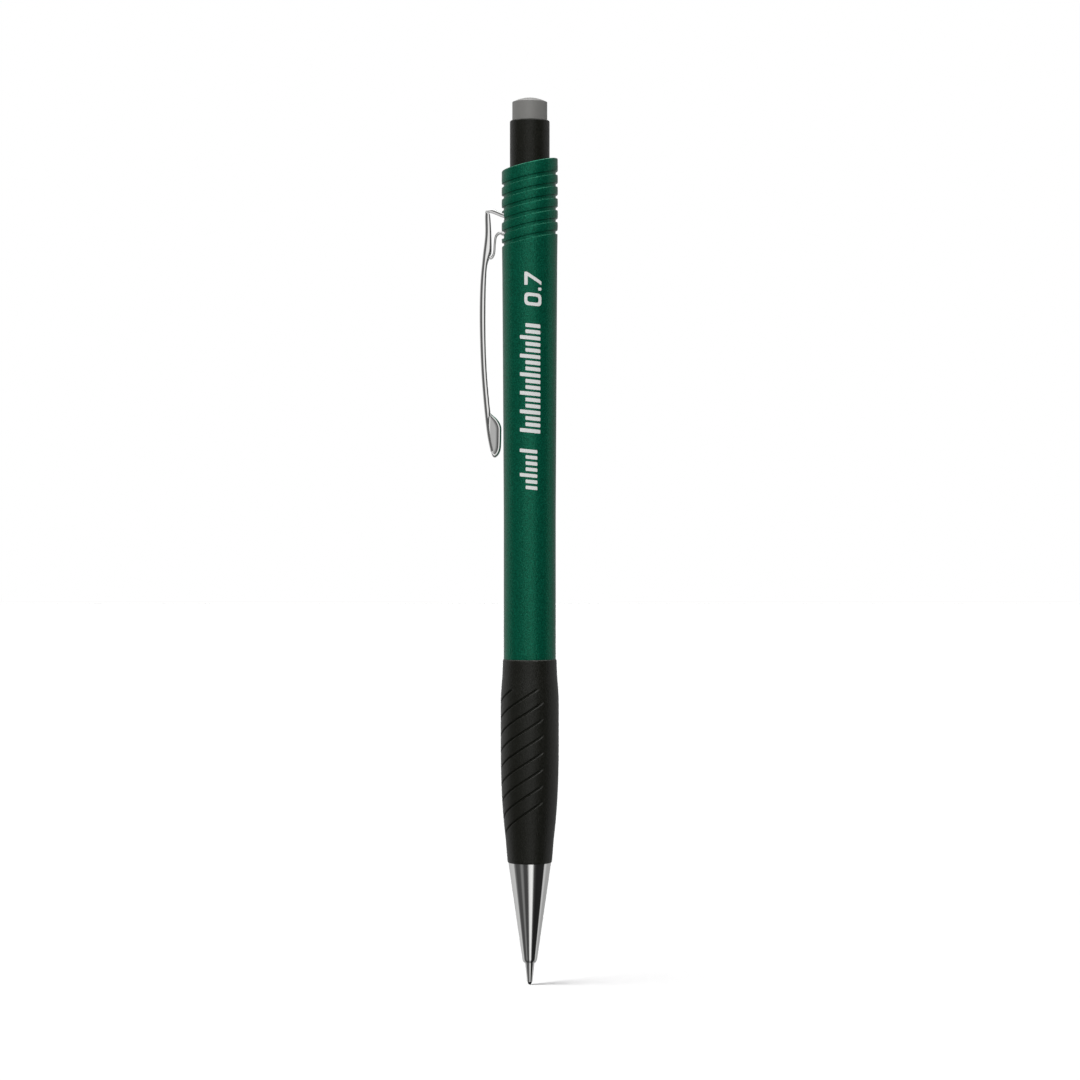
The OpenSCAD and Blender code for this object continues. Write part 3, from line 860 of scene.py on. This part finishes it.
# ---------------------------------------------------------------- stage, light and camera
# The studio as a reflection sees it: (degrees round from the camera, brightness)
STUDIO_RING = ((-180, 0.5), (-115, 0.6), (-100, 0.62), (-93, 0.2), (-80, 0.07), (-58, 0.08), (-48, 0.24),
               (-40, 0.2), (-33, 0.06), (-13, 0.06), (-7, 0.4), (-3, 0.85), (15, 1.05), (19, 0.6),
               (24, 0.09), (30, 0.04), (40, 0.016), (85, 0.02), (91, 0.65), (100, 0.58), (112, 0.4),
               (180, 0.4))
SOFT_BOX = (36, 62)                    # the overhead soft box fades in between these elevations
SOFT_BOX_GLOSS = 4.0                   # its brightness in reflections
BELOW_GLOSS = 0.5                      # how far reflections darken towards straight down
BELOW_BAND = (-0.75, -0.42)            # between these sines of the elevation
SOFT_BOX_MATTE = 0.9                   # the soft box's brightness to matte surfaces
ROOM_MATTE = 0.28                      # the rest of the room, as matte surfaces see it
BELOW_MATTE = 0.17                     # and the side below the horizon
HORIZON_BAND = (-0.3, 0.1)             # the sines of the elevation between which it changes
FLOOR_GLOW = 0.02
FLOOR_HALF = 3.0                       # half the floor's side, in metres
SUN_POWER = 38.5
SUN_WIDTH = 40
SUN_WAY = (0.9, 0.3, -0.74)
LAMP_AIM = (0, 0, 0.07)                # the lamps point at the pencil's middle
# name, place and size in metres, and power of each lamp
FRONT_LAMP = ("front", (-0.22, -0.88, 0.25), (0.2, 0.5), 3.5)
SHEEN_LAMP = ("sheen", (-0.3, -0.85, 0.2), (0.16, 0.6), 0.4)
FRAME_MM = 179.3                       # width of the view at the pencil
CAMERA_AWAY = 500
CAMERA_X, CAMERA_Z = 1.7, 73.8         # the view's middle, beside the pencil's axis and above the floor
SENSOR = 36


def make_stage():
    """The floor. It is dark in itself, and the sun brings it up to white except in the tip's shadow."""
    mesh = bpy.data.meshes.new("floor")
    corners = ((-1, -1), (1, -1), (1, 1), (-1, 1))
    mesh.from_pydata([(x * FLOOR_HALF, y * FLOOR_HALF, 0) for x, y in corners], [], [(0, 1, 2, 3)])
    floor = add_object("floor", mesh)
    s = Shader("floor_white", (0.12, 0.12, 0.12), 0.9, Emission_Strength=FLOOR_GLOW,
               Emission_Color=(1, 1, 1, 1))
    s.vary_color(s.noise(3, 2), (0.119, 0.119, 0.119), (0.121, 0.121, 0.121))
    mesh.materials.append(s.material)
    floor.visible_glossy = False
    floor.visible_diffuse = False
    return floor


def make_world():
    """White for the camera, and a studio for reflections and matte surfaces.

    The studio is a ring of light and dark panels round the pencil, with a soft box overhead."""
    world = bpy.data.worlds.new("studio")
    bpy.context.scene.world = world
    world.use_nodes = True
    tree = world.node_tree
    tree.nodes.clear()
    new = tree.nodes.new
    link = tree.links.new

    def math_node(operation, *values):
        made = new("ShaderNodeMath")
        made.operation = operation
        for socket, value in zip(made.inputs, values):
            if isinstance(value, bpy.types.NodeSocket):
                link(value, socket)
            else:
                socket.default_value = value
        return made.outputs[0]

    def spread(value, start, end, low_value, high_value, smooth=False):
        made = new("ShaderNodeMapRange")
        if smooth:
            made.interpolation_type = "SMOOTHSTEP"
        link(value, made.inputs["Value"])
        sockets = ("From Min", "From Max", "To Min", "To Max")
        for socket, number in zip(sockets, (start, end, low_value, high_value)):
            made.inputs[socket].default_value = number
        return made.outputs["Result"]

    def shade(strength=None):
        made = new("ShaderNodeBackground")
        made.inputs["Color"].default_value = (1, 1, 1, 1)
        if strength:
            link(strength, made.inputs["Strength"])
        return made.outputs[0]

    def choose(factor, no, yes):
        made = new("ShaderNodeMixShader")
        for socket, value in zip(made.inputs, (factor, no, yes)):
            link(value, socket)
        return made.outputs[0]

    split = new("ShaderNodeSeparateXYZ")
    link(new("ShaderNodeTexCoord").outputs["Generated"], split.inputs[0])
    side, back, up = split.outputs
    turn = math_node("ARCTAN2", side, math_node("MULTIPLY", back, -1))
    ramp = new("ShaderNodeValToRGB")
    link(spread(turn, -math.pi, math.pi, 0, 1), ramp.inputs[0])
    points = ramp.color_ramp.elements
    for degrees, value in STUDIO_RING[1:-1]:
        points.new((degrees + 180) / 360).color = (value, value, value, 1)
    for point, (_, value) in zip((points[0], points[-1]), (STUDIO_RING[0], STUDIO_RING[-1])):
        point.color = (value, value, value, 1)
    box = spread(up, *(math.sin(math.radians(angle)) for angle in SOFT_BOX), 0, 1, True)
    ring = math_node("MULTIPLY", ramp.outputs["Color"], math_node("SUBTRACT", 1, box))
    ring = math_node("MULTIPLY", ring, spread(up, *BELOW_BAND, BELOW_GLOSS, 1, True))
    mirrored = math_node("ADD", ring, math_node("MULTIPLY", box, SOFT_BOX_GLOSS))
    room = spread(up, *HORIZON_BAND, BELOW_MATTE, ROOM_MATTE)
    matte = math_node("ADD", math_node("MULTIPLY", box, SOFT_BOX_MATTE), room)
    path = new("ShaderNodeLightPath").outputs
    studio = choose(path["Is Glossy Ray"], shade(matte), shade(mirrored))
    output = new("ShaderNodeOutputWorld")
    link(choose(path["Is Camera Ray"], studio, shade()), output.inputs["Surface"])


def group(name, pieces):
    """A collection that a lamp's light linking can name."""
    made = bpy.data.collections.new(name)
    for piece in pieces:
        made.objects.link(piece)
    return made


def make_light(name, place, size, power, satin=()):
    """A soft box. With satin pieces it lights only those, and without them it gives no reflections."""
    lamp = bpy.data.lights.new(name, "AREA")
    lamp.shape = "RECTANGLE"
    lamp.size, lamp.size_y = size
    lamp.energy = power
    holder = add_object(name, lamp)
    holder.location = place
    aim = Vector(LAMP_AIM) - Vector(place)
    holder.rotation_euler = aim.to_track_quat("-Z", "Y").to_euler()
    if satin:
        holder.light_linking.receiver_collection = group("lit_by_" + name, satin)
    else:
        holder.visible_glossy = False


def make_sun(floor, shading):
    """A broad sun from the left. Only the floor takes its light, and only the shading pieces shade it."""
    lamp = bpy.data.lights.new("sun", "SUN")
    lamp.energy = SUN_POWER
    lamp.angle = math.radians(SUN_WIDTH)
    holder = add_object("sun", lamp)
    holder.rotation_euler = Vector(SUN_WAY).to_track_quat("-Z", "Y").to_euler()
    holder.visible_glossy = False
    holder.light_linking.receiver_collection = group("lit_by_sun", [floor])
    holder.light_linking.blocker_collection = group("shading_the_floor", shading)


def make_camera():
    """A level camera in front, square to the pencil."""
    data = bpy.data.cameras.new("camera")
    data.sensor_width = SENSOR
    data.lens = SENSOR * CAMERA_AWAY / FRAME_MM
    data.clip_start, data.clip_end = 0.01, 10
    camera = add_object("camera", data)
    camera.location = Vector((CAMERA_X, -CAMERA_AWAY, CAMERA_Z)) * MM
    camera.rotation_euler = (math.radians(90), 0, 0)
    bpy.context.scene.camera = camera


satin = [make_barrel(), make_grip(), make_button(), make_eraser()]
make_print()
make_nose()
tip = [make_tip(), make_lead()]
make_clip()
make_spring()
dress_cad()
make_sun(make_stage(), tip)
make_world()
make_light(*FRONT_LAMP)
make_light(*SHEEN_LAMP, satin)
make_camera()
bpy.context.scene.view_settings.view_transform = "Standard"
